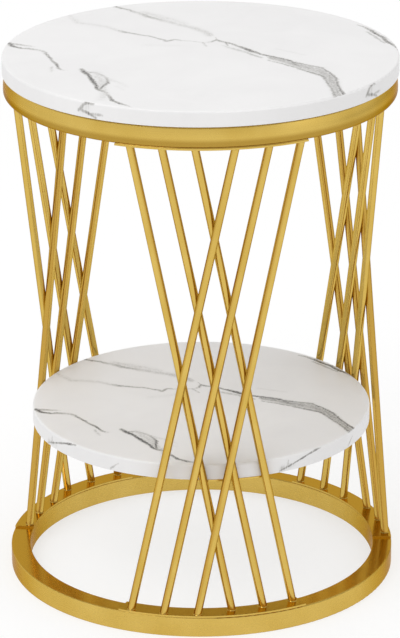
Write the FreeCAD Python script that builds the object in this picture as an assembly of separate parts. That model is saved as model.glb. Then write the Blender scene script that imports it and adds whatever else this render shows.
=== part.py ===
import FreeCAD, Part
import math
import os

# Round side table with a lower shelf, all lengths in millimetres.
# Z is up, the floor is Z = 0 and the table's axis is the Z axis.
# Angles are in degrees around that axis, from -Y towards +X.

# ---- driving dimensions ----
table_diameter = 400.0
table_height = 552.0

board_thickness = 16.0
skin_thickness = 0.5
backer_thickness = 0.4
board_edge_radius = 2.0

top_ring_width = 21.0
top_ring_height = 22.0
top_ring_setback = 1.0
top_ring_lean = 2.5
top_ring_belly_height = 6.0
top_ring_edge_radius = 3.5
base_ring_width = 20.0
base_ring_height = 21.0
tube_wall = 1.2
tube_corner_radius = 1.2

strip_width = 20.0
strip_thickness = 2.0
strip_start_margin = 5.2
strip_end_margin = 1.3
strip_edge_radius = 0.3

rod_diameter = 8.0
rods_per_set = 3
rod_spacing_angle = 10.1
rod_top_lead_angle = 26.1
rod_foot_lead_angle = 5.3
rod_crossing_gap = 0.1

panel_spacing_angle = 114.8

shelf_surface_height = 177.0
shelf_rod_gap = 0.4
rest_width = 20.0
rest_thickness = 2.0
rest_start_margin = 13.0
rest_end_margin = 4.0
rest_rod_gap = 0.2

lug_count = 4
lug_reach = 23.0
lug_width = 24.0
lug_thickness = 2.0
lug_corner_radius = 4.0

screw_diameter = 4.0
screw_length = 13.0
screw_tip_length = 4.0
screw_head_diameter = 8.0
screw_head_height = 2.4
screw_head_rounding = 1.4
screw_tip_radius = 0.2
screw_hole_clearance = 0.25
recess_width = 1.1
recess_span = 4.4
recess_depth = 1.3

# ---- sizes that follow from them ----
panels = {
    "front": 0.0,
    "right": panel_spacing_angle,
    "left": 2 * panel_spacing_angle,
}

table_radius = table_diameter / 2
board_underside = table_height - board_thickness
top_ring_underside = board_underside - top_ring_height
top_ring_outer_radius = table_radius - top_ring_setback
top_ring_inner_radius = top_ring_outer_radius - top_ring_width
base_ring_inner_radius = table_radius - base_ring_width

# The top ring's outer wall is an arc: widest at its belly, near the foot of the
# wall, and leaning in from there to the top edge.
belly_to_top = top_ring_height - top_ring_belly_height
top_ring_bow_radius = (belly_to_top**2 + top_ring_lean**2) / (2 * top_ring_lean)

# The rods run from the upper faces of the base strips to the lower faces of
# the top strips, and both strips sit in the middle of their ring's width.
rod_foot_height = base_ring_height + strip_thickness
rod_head_height = top_ring_underside - strip_thickness
top_mean_radius = top_ring_outer_radius - top_ring_width / 2
base_mean_radius = table_radius - base_ring_width / 2

# Each set leans through this angle. The two sets stand one inside the other,
# far enough apart that crossing rods only touch.
rod_lean_angle = rod_top_lead_angle + rod_foot_lead_angle
half_lean = math.radians(rod_lean_angle / 2)
set_half_offset = (rod_diameter + rod_crossing_gap) / math.cos(half_lean) / 2

# The strips reach past the outermost rods, at whichever end these are wider.
rod_foot_reach_angle = rod_foot_lead_angle + (rods_per_set - 1) * rod_spacing_angle
widest_rod_angle = max(rod_top_lead_angle, rod_foot_reach_angle)
strip_start_overhang = rod_diameter / 2 + strip_start_margin
strip_end_overhang = rod_diameter / 2 + strip_end_margin
strip_start = -widest_rod_angle - math.degrees(strip_start_overhang / top_mean_radius)
strip_end = widest_rod_angle + math.degrees(strip_end_overhang / top_mean_radius)

Z_AXIS = FreeCAD.Vector(0, 0, 1)
ORIGIN = FreeCAD.Vector(0, 0, 0)


def polar(angle, radius, height):
    """Point at an angle around the table, a distance from its axis and a height."""
    turn = math.radians(angle)
    return FreeCAD.Vector(radius * math.sin(turn), -radius * math.cos(turn), height)


def turned(shape, angle):
    """Copy of a shape made at angle 0, turned to its place around the table."""
    copy = shape.copy()
    copy.rotate(ORIGIN, Z_AXIS, angle)
    return copy


def disc(radius, low, high):
    """Solid round plate on the table's axis."""
    return Part.makeCylinder(radius, high - low, FreeCAD.Vector(0, 0, low))


def round_edges(shape, height=None, radius=None):
    """Circular edges of a shape, if wanted only those at a height or of a radius."""
    found = []
    for edge in shape.Edges:
        if not isinstance(edge.Curve, Part.Circle):
            continue
        height_error = 0 if height is None else edge.Curve.Center.z - height
        radius_error = 0 if radius is None else edge.Curve.Radius - radius
        if abs(height_error) < 0.001 and abs(radius_error) < 0.001:
            found.append(edge)
    return found


def arc_bar(inner, outer, low, high, start, end):
    """Flat bar bent on edge to the table's curve, between two angles."""
    corners = [
        FreeCAD.Vector(0, -inner, low),
        FreeCAD.Vector(0, -outer, low),
        FreeCAD.Vector(0, -outer, high),
        FreeCAD.Vector(0, -inner, high),
    ]
    section = Part.Face(Part.makePolygon(corners + corners[:1]))
    bar = section.revolve(ORIGIN, Z_AXIS, end - start)
    bar.rotate(ORIGIN, Z_AXIS, start)
    return bar.makeFillet(strip_edge_radius, round_edges(bar))


def bowed_wall(belly, bow, rise):
    """Distance out of a bowed wall at a height over its belly, where it is widest."""
    return belly - bow + math.sqrt(bow**2 - rise**2)


def ring_body(inner, outer, low, high, corner):
    """Solid ring of rectangular section with rounded corners."""
    ring = disc(outer, low, high).cut(disc(inner, low, high))
    if corner > 0:
        ring = ring.makeFillet(corner, round_edges(ring, low) + round_edges(ring, high))
    return ring


def bowed_ring_body(inner, outer, low, high, belly_height, bow, corner, edge):
    """Solid ring whose outer wall is bowed, with its own radius on the two outer edges."""
    wall_low = bowed_wall(outer, bow, low - belly_height)
    wall_high = bowed_wall(outer, bow, high - belly_height)
    low_in = FreeCAD.Vector(inner, 0, low)
    low_out = FreeCAD.Vector(wall_low, 0, low)
    belly = FreeCAD.Vector(outer, 0, belly_height)
    high_out = FreeCAD.Vector(wall_high, 0, high)
    high_in = FreeCAD.Vector(inner, 0, high)
    sides = [
        Part.makeLine(low_in, low_out),
        Part.Arc(low_out, belly, high_out).toShape(),
        Part.makeLine(high_out, high_in),
        Part.makeLine(high_in, low_in),
    ]
    ring = Part.Face(Part.Wire(sides)).revolve(ORIGIN, Z_AXIS, 360)
    outer_rims = round_edges(ring, low, wall_low) + round_edges(ring, high, wall_high)
    ring = ring.makeFillet(edge, outer_rims)
    if corner > 0:
        inner_rims = round_edges(ring, low, inner) + round_edges(ring, high, inner)
        ring = ring.makeFillet(corner, inner_rims)
    return ring


def wood_screw(base):
    """Pan-head screw standing on its head, driven straight up from a seat."""
    radius = screw_diameter / 2
    straight = screw_length - screw_tip_length
    shank = Part.makeCylinder(radius, straight, base)
    tip_base = base + FreeCAD.Vector(0, 0, straight)
    tip = Part.makeCone(radius, screw_tip_radius, screw_tip_length, tip_base)
    head_base = base - FreeCAD.Vector(0, 0, screw_head_height)
    head = Part.makeCylinder(screw_head_diameter / 2, screw_head_height, head_base)
    head = head.makeFillet(screw_head_rounding, round_edges(head, head_base.z))
    screw = head.fuse([shank, tip]).removeSplitter()
    for along_x in (True, False):
        size_x = recess_span if along_x else recess_width
        size_y = recess_width if along_x else recess_span
        corner = head_base - FreeCAD.Vector(size_x / 2, size_y / 2, 0)
        screw = screw.cut(Part.makeBox(size_x, size_y, recess_depth, corner))
    return screw


def rod_ends(radius_shift, lean_sign, index):
    """Foot and head points of one rod's axis, measured from its panel's middle.

    The inner set leans from upper left to lower right as seen from outside, and
    the outer set is its mirror image.
    """
    head_angle = lean_sign * (index * rod_spacing_angle - rod_top_lead_angle)
    foot_angle = lean_sign * (index * rod_spacing_angle + rod_foot_lead_angle)
    head = polar(head_angle, top_mean_radius + radius_shift, rod_head_height)
    foot = polar(foot_angle, base_mean_radius + radius_shift, rod_foot_height)
    return foot, head


def rod(foot, head):
    """Round bar along an axis, its ends cut level with the two strips."""
    spare = (head - foot).normalize() * rod_diameter
    axis_start = foot - spare
    axis = head + spare - axis_start
    bar = Part.makeCylinder(rod_diameter / 2, axis.Length, axis_start, axis)
    reach = 2 * table_diameter
    slab = Part.makeBox(
        reach,
        reach,
        rod_head_height - rod_foot_height,
        FreeCAD.Vector(-reach / 2, -reach / 2, rod_foot_height),
    )
    return bar.common(slab)


def inner_rod_point(index, height):
    """Where an inner rod's axis passes a height, in the front panel."""
    foot, head = rod_ends(-set_half_offset, 1, index)
    part_way = (height - rod_foot_height) / (rod_head_height - rod_foot_height)
    return foot + (head - foot) * part_way


def distance_out(point):
    """Distance of a point from the table's axis."""
    return math.hypot(point.x, point.y)


def angle_of(point):
    """Angle of a point around the table."""
    return math.degrees(math.atan2(point.x, -point.y))


def board(radius, top, screw_seats):
    """Board in three layers: wood-fibre core, pressed-on skin and backing sheet."""
    underside = top - board_thickness
    body = disc(radius, underside, top)
    body = body.makeFillet(board_edge_radius, round_edges(body, top))
    core_radius = radius - skin_thickness
    core_top = top - skin_thickness
    filling = disc(core_radius, underside, core_top)
    inner_edge = board_edge_radius - skin_thickness
    filling = filling.makeFillet(inner_edge, round_edges(filling, core_top))
    skin = body.cut(filling)
    backer = disc(core_radius, underside, underside + backer_thickness)
    core = filling.cut(backer)
    for seat in screw_seats:
        hole = Part.makeCylinder(screw_diameter / 2, screw_length, seat)
        core = core.cut(hole)
        backer = backer.cut(hole)
    return core, skin, backer


nodes = {}

# ---- rings ----
# Both are tubes rolled into a ring: an outer body less its hollow.
hollow_corner = max(tube_corner_radius - tube_wall, 0.0)
top_ring_body = bowed_ring_body(
    top_ring_inner_radius,
    top_ring_outer_radius,
    top_ring_underside,
    board_underside,
    top_ring_underside + top_ring_belly_height,
    top_ring_bow_radius,
    tube_corner_radius,
    top_ring_edge_radius,
)
top_ring_hollow = bowed_ring_body(
    top_ring_inner_radius + tube_wall,
    top_ring_outer_radius - tube_wall,
    top_ring_underside + tube_wall,
    board_underside - tube_wall,
    top_ring_underside + top_ring_belly_height,
    top_ring_bow_radius - tube_wall,
    hollow_corner,
    top_ring_edge_radius - tube_wall,
)
nodes["top_ring"] = top_ring_body.cut(top_ring_hollow)

base_ring_body = ring_body(
    base_ring_inner_radius, table_radius, 0.0, base_ring_height, tube_corner_radius
)
base_ring_hollow = ring_body(
    base_ring_inner_radius + tube_wall,
    table_radius - tube_wall,
    tube_wall,
    base_ring_height - tube_wall,
    hollow_corner,
)
nodes["base_ring"] = base_ring_body.cut(base_ring_hollow)

# ---- rod panels ----
top_strip = arc_bar(
    top_mean_radius - strip_width / 2,
    top_mean_radius + strip_width / 2,
    rod_head_height,
    top_ring_underside,
    strip_start,
    strip_end,
)
base_strip = arc_bar(
    base_mean_radius - strip_width / 2,
    base_mean_radius + strip_width / 2,
    base_ring_height,
    rod_foot_height,
    strip_start,
    strip_end,
)
rods = []
for radius_shift, lean_sign in ((-set_half_offset, 1), (set_half_offset, -1)):
    for index in range(rods_per_set):
        foot, head = rod_ends(radius_shift, lean_sign, index)
        rods.append(rod(foot, head))

for panel, angle in panels.items():
    nodes[panel + "_top_strip"] = turned(top_strip, angle)
    nodes[panel + "_base_strip"] = turned(base_strip, angle)
    for number, bar in enumerate(rods, start=1):
        set_name = "inner" if number <= rods_per_set else "outer"
        place = (number - 1) % rods_per_set + 1
        nodes[f"{panel}_{set_name}_rod_{place}"] = turned(bar, angle)

# ---- shelf rests: bars welded to the inner rods under the shelf ----
shelf_underside = shelf_surface_height - board_thickness
rest_low = shelf_underside - rest_thickness
first_rod = inner_rod_point(0, rest_low)
last_rod = inner_rod_point(rods_per_set - 1, rest_low)
rest_outer_radius = distance_out(first_rod) - rod_diameter / 2 - rest_rod_gap
rest_mean_radius = rest_outer_radius - rest_width / 2
start_margin = math.degrees(rest_start_margin / rest_outer_radius)
end_margin = math.degrees(rest_end_margin / rest_outer_radius)
rest_start_angle = angle_of(first_rod) - start_margin
rest_end_angle = angle_of(last_rod) + end_margin
rest = arc_bar(
    rest_outer_radius - rest_width,
    rest_outer_radius,
    rest_low,
    shelf_underside,
    rest_start_angle,
    rest_end_angle,
)
rest_quarter = (rest_end_angle - rest_start_angle) / 4
rest_screw_angles = (rest_start_angle + rest_quarter, rest_end_angle - rest_quarter)
hole_radius = screw_diameter / 2 + screw_hole_clearance
shelf_seats = []
for place in rest_screw_angles:
    seat = polar(place, rest_mean_radius, rest_low)
    rest = rest.cut(Part.makeCylinder(hole_radius, rest_thickness, seat))
for panel, angle in panels.items():
    nodes[panel + "_shelf_rest"] = turned(rest, angle)
    for place in rest_screw_angles:
        shelf_seats.append(polar(angle + place, rest_mean_radius, rest_low))

# ---- lugs inside the top ring, which hold the top board ----
lug_low = board_underside - lug_thickness
lug_inner_radius = top_ring_inner_radius - lug_reach
lug = Part.makeBox(
    lug_width,
    lug_reach + top_ring_width / 2,
    lug_thickness,
    FreeCAD.Vector(-lug_width / 2, -top_ring_inner_radius - top_ring_width / 2, lug_low),
)
inner_corners = [
    edge
    for edge in lug.Edges
    if abs(edge.Length - lug_thickness) < 0.001
    and abs(edge.CenterOfMass.y + lug_inner_radius) < 0.001
]
lug = lug.makeFillet(lug_corner_radius, inner_corners)
lug = lug.common(disc(top_ring_inner_radius, lug_low, board_underside))
lug_seat_radius = lug_inner_radius + lug_reach / 2
lug_seat = polar(0, lug_seat_radius, lug_low)
lug = lug.cut(Part.makeCylinder(hole_radius, lug_thickness, lug_seat))
top_seats = []
for number in range(lug_count):
    angle = number * 360.0 / lug_count
    nodes[f"board_lug_{number + 1}"] = turned(lug, angle)
    top_seats.append(polar(angle, lug_seat_radius, lug_low))

# ---- boards ----
rod_beside_shelf = inner_rod_point(0, shelf_surface_height)
shelf_radius = distance_out(rod_beside_shelf) - rod_diameter / 2 - shelf_rod_gap
layers = ("core", "skin", "backer")
top_layers = board(table_radius, table_height, top_seats)
shelf_layers = board(shelf_radius, shelf_surface_height, shelf_seats)
for layer, top_piece, shelf_piece in zip(layers, top_layers, shelf_layers):
    nodes["top_" + layer] = top_piece
    nodes["shelf_" + layer] = shelf_piece

# ---- screws, each group of identical ones in one file ----
nodes["top_screws"] = Part.makeCompound([wood_screw(seat) for seat in top_seats])
nodes["shelf_screws"] = Part.makeCompound([wood_screw(seat) for seat in shelf_seats])

os.makedirs("parts", exist_ok=True)
print("shelf radius", round(shelf_radius, 2))
print("shelf rest angles", round(rest_start_angle, 2), round(rest_end_angle, 2))
for name, shape in nodes.items():
    shape.exportStep("parts/" + name + ".step")
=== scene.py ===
import math

import bmesh
import bpy
from mathutils import Matrix, Vector, noise


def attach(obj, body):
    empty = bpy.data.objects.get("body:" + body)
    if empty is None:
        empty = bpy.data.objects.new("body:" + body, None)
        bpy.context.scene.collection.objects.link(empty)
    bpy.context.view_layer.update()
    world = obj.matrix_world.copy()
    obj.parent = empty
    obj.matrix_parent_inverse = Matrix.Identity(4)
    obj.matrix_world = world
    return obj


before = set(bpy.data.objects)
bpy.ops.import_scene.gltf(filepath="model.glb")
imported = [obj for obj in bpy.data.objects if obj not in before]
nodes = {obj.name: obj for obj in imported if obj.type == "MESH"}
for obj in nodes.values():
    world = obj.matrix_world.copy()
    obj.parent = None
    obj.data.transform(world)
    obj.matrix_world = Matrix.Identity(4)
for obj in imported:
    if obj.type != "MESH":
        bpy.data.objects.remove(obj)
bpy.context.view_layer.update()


# ---- the base ring, strips, top ring, shelf rests and lugs ----
# Rectangular tube rolled to a circle and butt welded closed, flat bar bent on edge, and
# small plates, all steel. The whole frame is welded up, ground and sprayed with a satin
# gold lacquer, so faint drawing lines and orange peel show in it.
def wire(tree, node, sockets):
    """Gives a node's inputs their values, or links them to other nodes' outputs."""
    for key, value in sockets.items():
        if isinstance(value, bpy.types.NodeSocket):
            tree.links.new(value, node.inputs[key])
        else:
            node.inputs[key].default_value = value


def shade(tree, kind, sockets=None, **settings):
    """Adds a shader node: settings are its own options, sockets its inputs."""
    node = tree.nodes.new("ShaderNode" + kind)
    for key, value in settings.items():
        setattr(node, key, value)
    wire(tree, node, sockets or {})
    return node


def new_finish(name):
    """A material with an empty tree, and that tree."""
    material = bpy.data.materials.new(name)
    material.use_nodes = True
    material.node_tree.nodes.clear()
    return material, material.node_tree


def object_place(tree):
    """Where a point lies on the table, in metres."""
    return shade(tree, "TexCoord").outputs["Object"]


def sums(tree, operation, first, second=0.0, third=0.0):
    """One sum on numbers, and its result."""
    return shade(tree, "Math", {0: first, 1: second, 2: third}, operation=operation).outputs[0]


def times(tree, first, second):
    """The first number times the second."""
    return sums(tree, "MULTIPLY", first, second)


def point_of(tree, x, y, z=0.0):
    """The point with those three coordinates."""
    return shade(tree, "CombineXYZ", {0: x, 1: y, 2: z}).outputs[0]


def clouded(tree, place, cells, detail=2.0, roughness=0.5, distortion=0.0, output="Fac"):
    """A cloud of noise over that place, with that many cells to its unit."""
    sockets = {"Vector": place, "Scale": cells, "Detail": detail}
    sockets |= {"Roughness": roughness, "Distortion": distortion}
    return shade(tree, "TexNoise", sockets).outputs[output]


def between(tree, value, start, end, low=0.0, high=1.0, **settings):
    """Goes from low to high while the value goes from start to end."""
    sockets = {"Value": value, "From Min": start, "From Max": end, "To Min": low, "To Max": high}
    return shade(tree, "MapRange", sockets, **settings).outputs[0]


def eased(tree, value, start, end, **settings):
    """Goes from 0 to 1 while the value goes from start to end, softly at both ends."""
    return between(tree, value, start, end, interpolation_type="SMOOTHSTEP", **settings)


def blended(tree, share, first, second):
    """The first colour giving way to the second."""
    return shade(tree, "Mix", {0: share, 6: first, 7: second}, data_type="RGBA").outputs[2]


def ramp(tree, value, *stops):
    """Runs from colour to colour: each stop is a place from 0 to 1 and its colour."""
    node = shade(tree, "ValToRGB", {0: value})
    marks = node.color_ramp.elements
    marks[0].position, marks[0].color = stops[0]
    marks[1].position, marks[1].color = stops[-1]
    for place, colour in stops[1:-1]:
        marks.new(place).color = colour
    return node.outputs[0]


def bumped(tree, height, strength, distance, **below):
    """A surface raised by that height, and laid over another bump if one is given."""
    sockets = {"Height": height, "Strength": strength, "Distance": distance} | below
    return shade(tree, "Bump", sockets).outputs[0]


def coat(tree, sockets):
    """Puts the surface itself on the material's output."""
    surface = shade(tree, "BsdfPrincipled", sockets)
    shade(tree, "OutputMaterial", {0: surface.outputs[0]})


def round_the_axis(tree, place):
    """Place unrolled round the table's axis: way round, distance out and height."""
    x, y, height = shade(tree, "SeparateXYZ", {0: place}).outputs
    angle = sums(tree, "ARCTAN2", x, times(tree, y, -1.0))
    out = sums(tree, "SQRT", sums(tree, "ADD", times(tree, x, x), times(tree, y, y)))
    return angle, out, height


lacquer_deep, lacquer_light = (0.63, 0.424, 0.090, 1), (0.70, 0.490, 0.122, 1)
rolled_edge_tint, rolled_roughness = (0.60, 0.425, 0.31, 1), 0.24
line_roughness, handled_roughness = 0.06, 0.05
# the fineness of the drawing lines: cells to a metre across them, and to a radian along
cells_across, cells_round = 900.0, 1.6
# along the lower lip of the top ring a painted shade darkens the lacquer: the heights
# where that fades out and is deepest, where the ring begins, and its outer wall
lip_painted_shade_tone, lip_painted_shade_depth = (0.40, 0.235, 0.035, 1), 0.8
lip_shade_heights, ring_begins, outer_wall = (0.5245, 0.5190), (0.5140, 0.5145), (0.1925, 0.1955)
# faces that look upwards get a painted shade, deeper in tone, and are made smoother: how
# far up a face looks where that begins and ends, its tone and how much smoother it is
rolled_upward_shade = (0.80, 0.95, (0.77, 0.470, 0.085, 1), -0.09)


def round_the_table(tree, place):
    """The way the lines of rolled metal run: round the table."""
    angle, out, height = round_the_axis(tree, place)
    along = times(tree, angle, cells_round)
    return point_of(tree, along, times(tree, out, cells_across), times(tree, height, cells_across))


def painted_shade_at_lip(tree, place):
    """How much painted shade darkens the lower lip of the top ring."""
    _, out, height = round_the_axis(tree, place)
    near_lip = eased(tree, height, *lip_shade_heights)
    on_ring = between(tree, height, *ring_begins)
    on_outside = between(tree, out, *outer_wall)
    return times(tree, near_lip, times(tree, on_ring, on_outside))


def gold_lacquer(name, drawn_way, least_rough, edge_tint, upward_shade, has_shaded_lip=False):
    """Satin gold lacquer on steel, whose drawing lines run that way."""
    finish, tree = new_finish(name)
    place = object_place(tree)
    lines = clouded(tree, drawn_way(tree, place), 1.0, detail=3.0, roughness=0.6)
    cloud = clouded(tree, place, 22.0, detail=3.0)
    peel = clouded(tree, place, 520.0)
    handling = clouded(tree, place, 75.0, detail=5.0, roughness=0.65, distortion=0.4)
    handled = between(tree, handling, 0.52, 0.72, 0.0, handled_roughness)
    tone = ramp(tree, cloud, (0.3, lacquer_deep), (0.7, lacquer_light))
    # the lower lip of the top ring is darkened by a painted shade
    if has_shaded_lip:
        shade_at_lip = times(tree, painted_shade_at_lip(tree, place), lip_painted_shade_depth)
        tone = blended(tree, shade_at_lip, tone, lip_painted_shade_tone)
    begins, ends, upward_shade_tone, smoother = upward_shade
    # faces that look upwards are darkened by a painted shade, and made smoother
    facing = shade(tree, "SeparateXYZ", {0: shade(tree, "NewGeometry").outputs["Normal"]})
    upward_shade_share = eased(tree, facing.outputs["Z"], begins, ends)
    tone = blended(tree, upward_shade_share, tone, upward_shade_tone)
    rough = sums(tree, "MULTIPLY_ADD", lines, line_roughness, least_rough)
    rough = sums(tree, "ADD", rough, handled)
    rough = sums(tree, "MULTIPLY_ADD", upward_shade_share, smoother, rough)
    drawn_bump = bumped(tree, lines, strength=0.02, distance=0.00002)
    peel_bump = bumped(tree, peel, strength=0.02, distance=0.00008, Normal=drawn_bump)
    looks = {"Base Color": tone, "Metallic": 1.0, "Roughness": rough}
    coat(tree, looks | {"Normal": peel_bump, "Specular Tint": edge_tint})
    return finish


def dress(finish, *names):
    """Gives CAD nodes their finish."""
    for name in names:
        for slot in nodes[name].material_slots:
            slot.material = finish


sides = ("front", "right", "left")
rolled_gold = gold_lacquer(
    "rolled gold lacquer", round_the_table, rolled_roughness, rolled_edge_tint,
    rolled_upward_shade, has_shaded_lip=True,
)
dress(rolled_gold, "base_ring", "top_ring")
for side in sides:
    dress(rolled_gold, f"{side}_base_strip", f"{side}_top_strip", f"{side}_shelf_rest")
for number in (1, 2, 3, 4):
    dress(rolled_gold, f"board_lug_{number}")


# ---- the crossed bars ----
# Eighteen straight 8 mm round bars in three panels. Each panel has three bars leaning
# one way and, just outside them, three leaning the other, welded to the strips.
head_height, foot_height = 0.512, 0.023
head_out, foot_out, set_shift = 0.1885, 0.190, 0.0042
head_lead, foot_lead = 26.1, 5.3
drawn_edge_tint, drawn_roughness = (0.42, 0.30, 0.20, 1), 0.18
# the upward sides of the bars are darkened by a painted shade
drawn_upward_shade = (0.04, 0.16, (0.56, 0.345, 0.066, 1), 0.0)
cells_up_bar = 9.0


def around(out, degrees, height):
    """A point that far from the axis, at that angle from the front, at that height."""
    turn = math.radians(degrees)
    return Vector((out * math.sin(turn), -out * math.cos(turn), height))


def along_bars(lean, shift):
    """The way the lines of the bars of one set run: up along the lean of its bars."""
    foot = around(foot_out + shift, lean * foot_lead, foot_height)
    head = around(head_out + shift, -lean * head_lead, head_height)

    def drawn_way(tree, place):
        angle, out, height = round_the_axis(tree, place)
        climbed = between(tree, height, foot_height, head_height, clamp=False)
        ends = {0: climbed, 4: foot, 5: head}
        centre = shade(tree, "Mix", ends, data_type="VECTOR", clamp_factor=False).outputs[1]
        bar_angle, bar_out, _ = round_the_axis(tree, centre)
        sideways = times(tree, sums(tree, "SUBTRACT", angle, bar_angle), out)
        outwards = sums(tree, "SUBTRACT", out, bar_out)
        return point_of(
            tree,
            times(tree, sideways, cells_across),
            times(tree, outwards, cells_across),
            times(tree, height, cells_up_bar),
        )

    return drawn_way


for bar_set, lean, shift in (("inner", 1, -set_shift), ("outer", -1, set_shift)):
    drawn_gold = gold_lacquer(
        f"drawn gold lacquer, {bar_set} bars", along_bars(lean, shift), drawn_roughness,
        drawn_edge_tint, drawn_upward_shade,
    )
    for side in sides:
        for number in (1, 2, 3):
            dress(drawn_gold, f"{side}_{bar_set}_rod_{number}")


# ---- the welds ----
# A thin bead runs round each bar's head and foot, a long one fills the groove between the
# top ring and each strip under it, and short ones hold the shelf rests to the bars and
# the lugs to the ring. They are ground almost flush and lacquered with the frame.
up = Vector((0, 0, 1))
bar_radius, bar_step, panel_step = 0.004, 10.1, 114.8
bead_width, bead_rise, bead_sunk = 0.0010, 0.0009, 0.00015
bead_outline = (
    (bar_radius - 0.0003, bead_rise),
    (bar_radius + 0.0003, bead_rise * 0.5),
    (bar_radius + bead_width * 0.55, bead_rise * 0.2),
    (bar_radius + bead_width, -bead_sunk),
    (bar_radius - 0.0005, -bead_sunk),
)


def bar_ends():
    """The head and foot of every bar, inner ones first in each panel."""
    for panel in range(3):
        for shift, lean in ((-set_shift, 1), (set_shift, -1)):
            for step in range(3):
                head_turn = panel * panel_step + lean * (bar_step * step - head_lead)
                foot_turn = panel * panel_step + lean * (bar_step * step + foot_lead)
                head = around(head_out + shift, head_turn, head_height)
                foot = around(foot_out + shift, foot_turn, foot_height)
                yield head, foot, lean > 0


def swept(mesh, corners, centre, angle, steps, **settings):
    """Draws a closed outline through the corners and turns it about an upright line."""
    row = [mesh.verts.new(corner) for corner in corners]
    edges = [mesh.edges.new(pair) for pair in zip(row, row[1:] + row[:1])]
    bmesh.ops.spin(
        mesh, geom=row + edges, cent=centre, axis=up, angle=angle, steps=steps, **settings
    )


def bead_round(mesh, centre, way_up):
    """A concave fillet round a bar's end, on its strip: way_up is 1 or -1."""
    corners = [centre + Vector((out, 0, way_up * rise)) for out, rise in bead_outline]
    swept(mesh, corners, centre, math.tau, steps=28, use_merge=True)


def nugget(mesh, centre, away, size):
    """A short bead across the way out from the axis: half its length, width and height."""
    made = bmesh.ops.create_icosphere(mesh, subdivisions=3, radius=1.0)["verts"]
    along = away.cross(up)
    axes = Matrix((along * size[0], away * size[1], along.cross(away) * size[2]))
    placed = Matrix.Translation(centre) @ axes.transposed().to_4x4()
    bmesh.ops.transform(mesh, matrix=placed, verts=made)


def roughen(mesh, depth, cells):
    """Leaves the slight unevenness of a bead laid by hand."""
    for vert in mesh.verts:
        vert.co += depth * noise.noise_vector(vert.co * cells)


def piece_from(mesh, name, finish):
    """Turns a bmesh into a piece that rides on the table."""
    bmesh.ops.recalc_face_normals(mesh, faces=mesh.faces)
    data = bpy.data.meshes.new(name)
    mesh.to_mesh(data)
    mesh.free()
    for face in data.polygons:
        face.use_smooth = True
    data.materials.append(finish)
    piece = bpy.data.objects.new(name, data)
    bpy.context.scene.collection.objects.link(piece)
    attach(piece, "root")


# seeded, so that the beads come out the same each time
noise.seed_set(1)
beads = bmesh.new()
for head, foot, _ in bar_ends():
    bead_round(beads, foot, 1)
    bead_round(beads, head, -1)
roughen(beads, depth=0.00012, cells=700)
piece_from(beads, "bar_welds", rolled_gold)

# the outline of the long bead, as distances out and heights, and the strip's two ends
seam_outline = (
    (0.19810, 0.51393), (0.19775, 0.51425), (0.19762, 0.51455),
    (0.19772, 0.51492), (0.19680, 0.51460), (0.19680, 0.51390),
)
strip_start, strip_end, seam_steps = -28.7, 27.5, 180
seams = bmesh.new()
for panel in range(3):
    start = panel * panel_step + strip_start
    corners = [around(out, start, height) for out, height in seam_outline]
    swept(seams, corners, (0, 0, 0), math.radians(strip_end - strip_start), seam_steps)
bmesh.ops.holes_fill(seams, edges=[edge for edge in seams.edges if edge.is_boundary])
roughen(seams, depth=0.00010, cells=450)
piece_from(seams, "strip_welds", rolled_gold)

rest_height, rest_weld_drop, rest_weld_inset = 0.160, 0.0009, 0.0004
rest_weld_size = (0.0042, 0.0013, 0.0011)
lug_weld_out, lug_weld_height, lug_weld_size = 0.1777, 0.5338, (0.0095, 0.0016, 0.0013)
short_beads = bmesh.new()
for head, foot, inner in bar_ends():
    if inner:
        climbed = (rest_height - foot_height) / (head_height - foot_height)
        crossing = foot.lerp(head, climbed)
        away = Vector((crossing.x, crossing.y, 0)).normalized()
        spot = crossing - away * (bar_radius + rest_weld_inset) - up * rest_weld_drop
        nugget(short_beads, spot, away, rest_weld_size)
for quarter in range(4):
    spot = around(lug_weld_out, 90 * quarter, lug_weld_height)
    away = Vector((spot.x, spot.y, 0)).normalized()
    nugget(short_beads, spot, away, lug_weld_size)
roughen(short_beads, depth=0.0002, cells=500)
piece_from(short_beads, "rest_and_lug_welds", rolled_gold)


# ---- the skins of the two boards ----
# A semi-gloss foil printed as white marble with grey veins is pressed over the face of
# each board, and a band of the same print goes round its edge. The shelf has the same
# print as the top, smaller and turned a little.
marble_shade, marble_ground = (0.842, 0.834, 0.834, 1), (0.875, 0.868, 0.866, 1)
vein_tones = (
    (0.0, (0.80, 0.795, 0.79, 1)),
    (0.25, (0.60, 0.59, 0.575, 1)),
    (0.55, (0.36, 0.35, 0.335, 1)),
    (0.8, (0.14, 0.135, 0.13, 1)),
    (1.0, (0.035, 0.034, 0.033, 1)),
)

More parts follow.
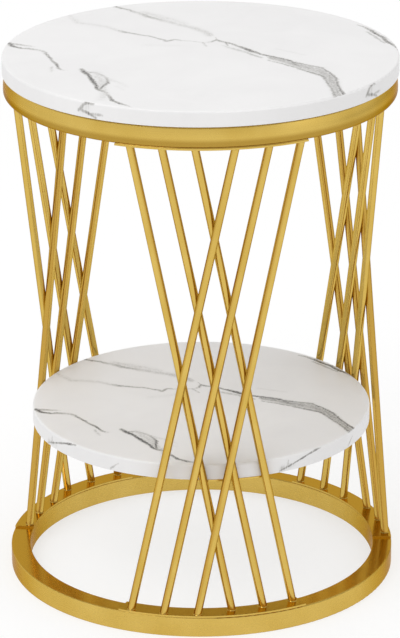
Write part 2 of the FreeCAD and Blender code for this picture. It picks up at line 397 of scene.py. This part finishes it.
# each vein is a run of places on the print in millimetres, with its half width and tone
face_veins = (
    (
        (-72, 83, 2.4, 0.50), (-58, 73, 2.0, 0.42), (-45, 64, 1.9, 0.40),
        (-34, 52, 2.0, 0.46), (-31, 46, 2.8, 0.55), (-22, 52, 2.0, 0.36),
        (-12, 46, 1.7, 0.20), (0, 40, 1.5, 0.16), (8, 39, 1.5, 0.20), (14, 40, 2.2, 0.34),
        (20, 47, 2.4, 0.50), (28, 38, 2.2, 0.60), (35, 33, 2.0, 0.50), (40, 22, 2.2, 0.62),
        (47, 12, 3.0, 0.92), (52, 3, 3.2, 0.80), (58, -4, 2.4, 0.70), (63, -11, 2.0, 0.62),
        (70, -18, 2.6, 0.66),
    ),
    ((20, 47, 1.0, 0.5), (20, 58, 0.8, 0.14)),
    ((5, 39, 1.7, 0.26), (8, 24, 1.2, 0.20)),
    ((28, 38, 1.8, 0.55), (30, 25, 1.3, 0.34)),
    (
        (24, 26, 3.0, 0.12), (35, 12, 3.5, 0.22), (45, 1, 3.0, 0.24), (55, -14, 2.4, 0.34),
        (59, -20, 2.2, 0.30),
    ),
    (
        (68, -20, 3.5, 0.42), (75, -27, 6.0, 0.42), (90, -45, 6.5, 0.46),
        (100, -58, 8.0, 0.38), (110, -67, 9.5, 0.36), (117, -82, 7.0, 0.40),
        (121, -98, 6.0, 0.40), (122, -120, 6.0, 0.42), (122, -140, 5.2, 0.40),
        (122, -158, 5.6, 0.44),
    ),
    (
        (70, -16, 2.2, 0.72), (80, -27, 2.4, 0.74), (92, -42, 2.2, 0.66),
        (104, -52, 1.8, 0.54), (116, -62, 1.8, 0.56), (122, -78, 2.0, 0.62),
        (126, -98, 2.0, 0.66), (126, -118, 1.6, 0.62), (126, -138, 2.0, 0.78),
        (128, -152, 2.2, 0.60),
    ),
    (
        (66, -30, 1.6, 0.36), (78, -45, 1.8, 0.40), (92, -60, 2.0, 0.48),
        (106, -78, 2.4, 0.62), (113, -90, 2.2, 0.62), (117, -106, 1.8, 0.58),
        (118, -130, 1.5, 0.48), (119, -156, 2.4, 0.66),
    ),
    ((90, -44, 1.8, 0.64), (96, -60, 1.8, 0.50)),
    (
        (-80, 184, 2.6, 0.66), (-66, 170, 2.4, 0.46), (-54, 156, 4.0, 0.20),
        (-44, 140, 3.4, 0.46), (-37, 131, 3.0, 0.34), (-28, 122, 5.0, 0.18),
        (0, 93, 6.0, 0.17), (11, 77, 6.0, 0.20), (14, 64, 5.0, 0.20),
    ),
    ((-50, 158, 6.0, 0.13), (-32, 138, 8.0, 0.13), (-8, 112, 7.0, 0.09)),
    (
        (-126, 152, 4.0, 0.08), (-120, 134, 5.0, 0.12), (-117, 122, 5.0, 0.13),
        (-100, 113, 5.0, 0.11), (-88, 104, 4.5, 0.12), (-80, 92, 3.4, 0.14),
        (-72, 83, 2.4, 0.36),
    ),
    (
        (-191, 52, 2.8, 0.80), (-188, 40, 2.8, 0.72), (-180, 33, 2.2, 0.66),
        (-172, 30, 2.2, 0.50), (-166, 26, 3.0, 0.24), (-158, 20, 3.0, 0.22),
        (-155, 14, 2.2, 0.44), (-153, 2, 1.8, 0.62), (-150, -14, 1.7, 0.46),
        (-146, -25, 1.9, 0.70), (-144, -41, 1.8, 0.66), (-141, -50, 2.6, 0.16),
        (-136, -50, 2.6, 0.05),
    ),
    ((-188, 50, 3.0, 0.40), (-176, 42, 2.6, 0.30), (-166, 36, 2.4, 0.10)),
    ((-151, -36, 2.4, 0.18), (-151, -54, 2.4, 0.12)),
    (
        (-122, -47, 2.6, 0.50), (-120, -58, 2.8, 0.90), (-115, -72, 2.5, 0.92),
        (-112, -90, 2.6, 1.0), (-110, -104, 2.4, 0.80), (-109, -116, 2.2, 0.80),
        (-103, -128, 2.6, 0.36), (-101, -136, 2.2, 0.24), (-98, -146, 1.9, 0.62),
        (-96, -158, 2.2, 0.70), (-91, -166, 2.0, 0.62), (-85, -173, 1.8, 0.44),
        (-80, -181, 1.4, 0.12),
    ),
    (
        (-120, -58, 2.2, 0.5), (-109, -61, 2.8, 0.26), (-101, -71, 3.0, 0.20),
        (-97, -84, 2.2, 0.34), (-98, -97, 2.2, 0.66), (-103, -109, 2.2, 0.66),
        (-106, -120, 2.0, 0.44),
    ),
    (
        (-108, -62, 7.0, 0.14), (-104, -82, 8.0, 0.16), (-104, -104, 6.0, 0.20),
        (-103, -128, 5.0, 0.16), (-106, -152, 7.0, 0.10),
    ),
    ((-95, -84, 3.5, 0.12), (-80, -112, 3.5, 0.05)),
    (
        (170, 92, 1.4, 0.30), (179, 75, 2.0, 0.58), (184, 58, 2.2, 0.84),
        (189, 42, 2.4, 0.80), (193, 26, 2.0, 0.82), (198, 8, 1.8, 0.60),
        (201, -6, 1.8, 0.50),
    ),
    ((176, 64, 2.0, 0.26), (183, 40, 2.0, 0.34), (190, 22, 1.6, 0.30)),
    ((-52, 34, 6.0, 0.05), (-20, 28, 6.0, 0.05)),
    ((78, 8, 3.0, 0.07), (92, -4, 3.0, 0.08), (104, -16, 3.0, 0.05)),
    ((-90, -110, 3.0, 0.06), (-82, -122, 3.0, 0.05)),
)
# round the edge the places are the way round in degrees, of every quarter, and the
# height from the middle of the band
top_edge_veins = (
    (
        (49.8, 7.2, 1.8, 0.40), (47.6, 7.4, 1.9, 0.54), (46.6, 4.4, 1.8, 0.62),
        (45.8, 0.8, 1.8, 0.66), (45.0, -1.6, 2.0, 0.56),
    ),
    ((45.8, -1.2, 1.8, 0.62), (48.4, -3.2, 1.7, 0.62), (50.6, -6.6, 1.6, 0.46)),
    ((48.6, -3.6, 1.5, 0.36), (52.6, -3.0, 1.5, 0.26)),
    ((47.5, 5.0, 6.0, 0.12), (46.6, -2.0, 5.5, 0.14)),
)
shelf_edge_veins = (
    (
        (17.6, -6.6, 1.1, 0.24), (20.2, -4.0, 1.2, 0.50), (23.6, -0.8, 1.0, 0.50),
        (27.6, 2.8, 1.0, 0.56), (31.6, 5.8, 1.1, 0.60), (34.4, 6.9, 1.0, 0.40),
    ),
    ((20.4, -3.6, 1.0, 0.30), (20.8, 3.0, 1.0, 0.12)),
    ((18.4, -4.6, 3.6, 0.14), (23.0, -2.4, 3.0, 0.10)),
    ((49.5, -6.0, 1.2, 0.22), (52.5, 1.0, 1.0, 0.18)),
)


# how many half widths from its middle line a vein fades out, and how sharply
fade_out, fade_power = 2.0, 1.8


def vein_stroke():
    """A node group: how dark a print is near one straight stroke of a vein."""
    group = bpy.data.node_groups.new("vein stroke", "ShaderNodeTree")
    for kind, names in (
        ("Vector", ("Place", "Start", "Run")),
        ("Float", ("Per Length", "Width", "Widening", "Tone", "Darkening", "Rest")),
    ):
        for name in names:
            group.interface.new_socket(name, in_out="INPUT", socket_type="NodeSocket" + kind)
    group.interface.new_socket("Tone", in_out="OUTPUT", socket_type="NodeSocketFloat")
    given = group.nodes.new("NodeGroupInput").outputs
    result = group.nodes.new("NodeGroupOutput")

    def vectors(operation, sockets, output=0):
        return shade(group, "VectorMath", sockets, operation=operation).outputs[output]

    away = vectors("SUBTRACT", {0: given["Place"], 1: given["Start"]})
    along = vectors("DOT_PRODUCT", {0: away, 1: given["Run"]}, "Value")
    share = shade(group, "Clamp", {0: times(group, along, given["Per Length"])}).outputs[0]
    nearest = vectors("SCALE", {0: given["Run"], "Scale": share})
    gap = vectors("DISTANCE", {0: away, 1: nearest}, "Value")
    width = sums(group, "MULTIPLY_ADD", share, given["Widening"], given["Width"])
    fade = eased(group, sums(group, "DIVIDE", gap, width), fade_out, 0.0, clamp=False)
    tone = sums(group, "MULTIPLY_ADD", share, given["Darkening"], given["Tone"])
    dark = times(group, sums(group, "POWER", fade, fade_power), tone)
    group.links.new(sums(group, "MAXIMUM", dark, given["Rest"]), result.inputs["Tone"])
    return group


stroke_group = vein_stroke()


def draw_veins(tree, place, veins, sideways=1.0):
    """Lays the strokes of these veins over each other, and gives the darkest tone."""
    tone = 0.0
    for vein in veins:
        for first, last in zip(vein, vein[1:]):
            start = Vector((first[0] * sideways, first[1], 0))
            run = Vector((last[0] * sideways, last[1], 0)) - start
            sockets = {"Place": place, "Start": start, "Run": run, "Rest": tone}
            sockets |= {"Width": first[2], "Widening": last[2] - first[2]}
            sockets |= {"Tone": first[3], "Darkening": last[3] - first[3]}
            sockets |= {"Per Length": 1 / run.length_squared}
            stroke = tree.nodes.new("ShaderNodeGroup")
            stroke.node_tree = stroke_group
            wire(tree, stroke, sockets)
            tone = stroke.outputs["Tone"]
    return tone


def pulled(tree, place, waves, reach):
    """A place on the print pulled about by those waves, so that no vein is straight."""
    level = {0: waves, 1: (0.5, 0.5, 0.5)}
    centred = shade(tree, "VectorMath", level, operation="SUBTRACT").outputs[0]
    shifted = {0: centred, 1: (reach, reach, 0.0), 2: place}
    return shade(tree, "VectorMath", shifted, operation="MULTIPLY_ADD").outputs[0]


# the reach in millimetres of the slow and quick waves in the face print, and of those in
# the band; how far the band's quarters are turned, and how far round each goes; how far
# in from the outside the band's print begins and is full; and how soon ink hides the
# ground
slow_reach, quick_reach, band_reach = 5.0, 4.2, 3.0
quarter_shift, quarter_turn = 85.0, 90.0
band_begins, band_full = 0.0010, 0.0005
ink_cover = 6.0
millimetres = 1000.0


def marble_foil(name, radius, middle, print_size, print_turn, inking, edge_veins):
    """The printed foil of one board: its radius and mid height in metres, and the size,
    turn and depth of tone of the print on it."""
    finish, tree = new_finish(name)
    place = object_place(tree)
    angle, out, height = round_the_axis(tree, place)

    # the face print, in millimetres
    cells = millimetres / print_size
    turned = {0: place, "Scale": (cells, cells, 0), "Rotation": (0, 0, -math.radians(print_turn))}
    print_place = shade(tree, "Mapping", turned).outputs[0]
    slow = clouded(tree, print_place, 0.055, detail=1.0, output="Color")
    quick = clouded(tree, print_place, 0.32, detail=3.0, roughness=0.65, output="Color")
    face_place = pulled(tree, pulled(tree, print_place, slow, slow_reach), quick, quick_reach)
    face_tone = draw_veins(tree, face_place, face_veins)

    # the band round the edge, in millimetres, which repeats at every quarter
    arc_of_degree = math.radians(1) * radius * millimetres
    degrees = sums(tree, "MULTIPLY_ADD", angle, 180 / math.pi, quarter_shift)
    in_quarter = sums(tree, "WRAP", degrees, quarter_turn)
    over_middle = times(tree, sums(tree, "SUBTRACT", height, middle), millimetres)
    band = point_of(tree, times(tree, in_quarter, arc_of_degree), over_middle)
    band_waves = clouded(tree, band, 0.3, detail=3.0, roughness=0.65, output="Color")
    band_place = pulled(tree, band, band_waves, band_reach)
    band_tone = draw_veins(tree, band_place, edge_veins, arc_of_degree)
    on_edge = between(tree, out, radius - band_begins, radius - band_full)
    tone = shade(tree, "Mix", {0: on_edge, 2: face_tone, 3: band_tone}).outputs[0]

    # the printed grain breaks the veins up, and a faint cloud lies over the whole
    speck = clouded(tree, print_place, 0.5, detail=4.0, roughness=0.75)
    blotch = clouded(tree, print_place, 0.17)
    specked = between(tree, speck, 0.36, 0.64, 0.30, 1.45)
    blotched = between(tree, blotch, 0.3, 0.7, 0.72, 1.25)
    ink = times(tree, times(tree, tone, inking), times(tree, specked, blotched))
    cloud = clouded(tree, print_place, 0.011, detail=5.0, roughness=0.55, distortion=0.8)
    ground = ramp(tree, cloud, (0.30, marble_shade), (0.62, marble_ground))
    inked = shade(tree, "Clamp", {0: times(tree, ink, ink_cover)}).outputs[0]
    colour = blended(tree, inked, ground, ramp(tree, ink, *vein_tones))

    peel = clouded(tree, place, 260.0)
    smears = clouded(tree, place, 28.0, detail=4.0, roughness=0.6)
    rough = between(tree, smears, 0.3, 0.7, 0.38, 0.48)
    looks = {"Base Color": colour, "Roughness": rough, "IOR": 1.48}
    coat(tree, looks | {"Normal": bumped(tree, peel, strength=0.05, distance=0.0001)})
    return finish


top_foil = marble_foil(
    "marble foil of the top", radius=0.200, middle=0.544,
    print_size=1.0, print_turn=0.0, inking=1.0, edge_veins=top_edge_veins,
)
shelf_foil = marble_foil(
    "marble foil of the shelf", radius=0.175, middle=0.169,
    print_size=0.875, print_turn=19.0, inking=1.3, edge_veins=shelf_edge_veins,
)
dress(top_foil, "top_skin")
dress(shelf_foil, "shelf_skin")


# ---- the cores of the boards ----
# Medium-density fibreboard discs, 16 mm thick, cut round with a softened top edge. Short
# pressed fibres and a few darker ones show wherever the board is bare.
def stretched(tree, place, cells):
    """That place with its own number of cells to a metre each way."""
    return shade(tree, "Mapping", {0: place, "Scale": cells}).outputs[0]


def raw_fibreboard(name):
    """Bare fibreboard: matted fibres, pressed in faint layers."""
    finish, tree = new_finish(name)
    place = object_place(tree)
    mat = clouded(tree, place, 900.0, detail=6.0, roughness=0.75, distortion=1.2)
    layers = clouded(tree, stretched(tree, place, (60.0, 60.0, 1800.0)), 1.0, detail=3.0)
    fibres = sums(tree, "MULTIPLY_ADD", mat, 0.65, times(tree, layers, 0.35))
    dark_fibre, pale_fibre = (0.20, 0.115, 0.055, 1), (0.42, 0.27, 0.15, 1)
    colour = ramp(tree, fibres, (0.36, dark_fibre), (0.62, pale_fibre))
    looks = {"Base Color": colour, "Roughness": 0.88, "Specular IOR Level": 0.25}
    coat(tree, looks | {"Normal": bumped(tree, mat, strength=0.4, distance=0.0002)})
    return finish


dress(raw_fibreboard("raw fibreboard"), "top_core", "shelf_core")


# ---- the backing sheets ----
# A thin white balancing paper is glued under each board, so that the foil on top can't
# pull it hollow. It is matt, with a fine paper tooth and a few pale scuffs.
def white_backing(name):
    """Matt white paper."""
    finish, tree = new_finish(name)
    place = object_place(tree)
    tooth = clouded(tree, place, 1400.0, detail=3.0)
    stain = clouded(tree, place, 14.0, detail=5.0, roughness=0.6)
    paper = sums(tree, "MULTIPLY_ADD", tooth, 0.3, times(tree, stain, 0.7))
    dull_paper, clean_paper = (0.66, 0.65, 0.62, 1), (0.77, 0.765, 0.745, 1)
    colour = ramp(tree, paper, (0.38, dull_paper), (0.56, clean_paper))
    looks = {"Base Color": colour, "Roughness": 0.7, "Specular IOR Level": 0.35}
    coat(tree, looks | {"Normal": bumped(tree, tooth, strength=0.2, distance=0.00008)})
    return finish


dress(white_backing("white backing paper"), "top_backer", "shelf_backer")


# ---- the screws ----
# Four pan-head wood screws go up through the lugs into the top board and six through
# the rests into the shelf. They are bright zinc plate, a little blue and a little worn.
def zinc_plate(name):
    """Bright zinc, with the fine rings of turned metal."""
    finish, tree = new_finish(name)
    place = object_place(tree)
    bloom = clouded(tree, place, 240.0, detail=4.0, roughness=0.6)
    turning = clouded(tree, stretched(tree, place, (300.0, 300.0, 5200.0)), 1.0)
    dull_zinc, bright_zinc = (0.50, 0.51, 0.53, 1), (0.72, 0.73, 0.72, 1)
    colour = ramp(tree, bloom, (0.35, dull_zinc), (0.65, bright_zinc))
    turned_rough = sums(tree, "MULTIPLY_ADD", turning, 0.12, 0.14)
    rough = sums(tree, "MULTIPLY_ADD", bloom, 0.25, turned_rough)
    looks = {"Base Color": colour, "Metallic": 1.0, "Roughness": rough}
    coat(tree, looks | {"Normal": bumped(tree, turning, strength=0.25, distance=0.00004)})
    return finish


dress(zinc_plate("zinc plate"), "top_screws", "shelf_screws")


# ---- the studio floor and background ----
# A plain pale floor under a plain white background. What the camera, and so the gold,
# sees of them is white, while the floor keeps the table's soft shadow.
floor_radius, floor_lift, shadow_tone = 1.9, 0.65, (0.36, 0.36, 0.36, 1)
floor_tones = (0.72, 0.72, 0.72, 1), (0.76, 0.76, 0.76, 1)
ambient_below, ambient_above = 0.76, 0.96
white = (1, 1, 1, 1)


def seen_directly(tree):
    """1 for rays from the camera and those off gloss or through glass, else 0."""
    rays = shade(tree, "LightPath").outputs
    seen = sums(tree, "MAXIMUM", rays["Is Camera Ray"], rays["Is Glossy Ray"])
    return sums(tree, "MAXIMUM", seen, rays["Is Transmission Ray"])


floor_mesh = bmesh.new()
bmesh.ops.create_circle(floor_mesh, cap_ends=True, segments=96, radius=floor_radius)
floor_data = bpy.data.meshes.new("floor")
floor_mesh.to_mesh(floor_data)
floor_mesh.free()
floor = bpy.data.objects.new("floor", floor_data)
bpy.context.scene.collection.objects.link(floor)

# from below the floor isn't there, so that the underside of the table can be seen
floor_finish, tree = new_finish("pale floor")
floor_cloud = clouded(tree, object_place(tree), 6.0, detail=3.0)
floor_colour = ramp(tree, floor_cloud, (0.0, floor_tones[0]), (1.0, floor_tones[1]))
matt = shade(tree, "BsdfDiffuse", {0: floor_colour}).outputs[0]
lift = shade(tree, "Emission", {0: white, 1: floor_lift}).outputs[0]
shadow = shade(tree, "BsdfDiffuse", {0: shadow_tone}).outputs[0]
lifted = shade(tree, "AddShader", {0: shadow, 1: lift}).outputs[0]
upper = shade(tree, "MixShader", {0: seen_directly(tree), 1: matt, 2: lifted}).outputs[0]
under = shade(tree, "BsdfTransparent").outputs[0]
from_below = shade(tree, "NewGeometry").outputs["Backfacing"]
both = shade(tree, "MixShader", {0: from_below, 1: upper, 2: under}).outputs[0]
shade(tree, "OutputMaterial", {0: both})
floor_data.materials.append(floor_finish)

# the gold also sees a dull ceiling, and low grey screens at both sides, the paler on the
# left: each share below says how far a direction looks at them, and how dull they are
world = bpy.data.worlds.new("white studio")
bpy.context.scene.world = world
world.use_nodes = True
tree = world.node_tree
tree.nodes.clear()
looking = shade(tree, "TexCoord").outputs["Generated"]
rightwards, backwards, upwards = shade(tree, "SeparateXYZ", {0: looking}).outputs
beside = eased(tree, backwards, -0.5, 0.05)
less_behind = between(tree, backwards, 0.3, 0.9, 0.46, 0.28)
darker_right = between(tree, rightwards, -0.3, 0.3, 0.30, 1.0)
above_foot = eased(tree, upwards, -0.22, -0.15)
below_top = eased(tree, upwards, -0.05, -0.12)
ceiling = between(tree, upwards, 0.05, 0.50, 0.0, 0.45)
low_screens = times(tree, beside, times(tree, above_foot, below_top))
screens = times(tree, low_screens, times(tree, less_behind, darker_right))
duller = sums(tree, "MAXIMUM", screens, ceiling)
in_gloss = shade(tree, "LightPath").outputs["Is Glossy Ray"]
shown = sums(tree, "SUBTRACT", 1.0, times(tree, duller, in_gloss))
ambient = between(tree, upwards, 0.0, 1.0, ambient_below, ambient_above)
strength = shade(tree, "Mix", {0: seen_directly(tree), 2: ambient, 3: shown}).outputs[0]
sky = shade(tree, "Background", {0: white, 1: strength})
shade(tree, "OutputWorld", {0: sky.outputs[0]})


# ---- the lamps ----
# A large soft lamp high on the left in front, a wide weak one straight in front and a
# weaker one on the right. All three are aimed at the middle of the table.
table_middle = Vector((0, 0, 0.25))


def soft_lamp(name, place, size, watts, in_gloss=True):
    """A round soft lamp aimed at the table, that shows in the gold or doesn't."""
    lamp = bpy.data.lights.new(name, "AREA")
    lamp.shape = "DISK"
    lamp.size = size
    lamp.energy = watts
    holder = bpy.data.objects.new(name, lamp)
    holder.location = place
    aim = table_middle - Vector(place)
    holder.rotation_euler = aim.to_track_quat("-Z", "Y").to_euler()
    holder.visible_glossy = in_gloss
    bpy.context.scene.collection.objects.link(holder)


soft_lamp("key lamp", (-1.7, -1.55, 3.0), size=1.8, watts=23)
soft_lamp("front lamp", (-0.5, -3.1, 1.25), size=2.0, watts=4, in_gloss=False)
soft_lamp("fill lamp", (2.6, -1.8, 1.5), size=1.6, watts=3)


# ---- the camera ----
# It stands a little left of the front, above the top and well back, with a long lens,
# so that the table's upright sides draw together only a little.
camera_data = bpy.data.cameras.new("camera")
camera_data.lens = 208.0
camera_data.sensor_width = 36.0
camera_data.clip_start, camera_data.clip_end = 0.1, 60
camera = bpy.data.objects.new("camera", camera_data)
camera.location = (-0.25570, -3.55848, 1.58339)
camera.rotation_euler = [math.radians(turn) for turn in (69.7500, 0.1285, -4.1411)]
bpy.context.scene.collection.objects.link(camera)
bpy.context.scene.camera = camera
bpy.context.scene.view_settings.view_transform = "Standard"
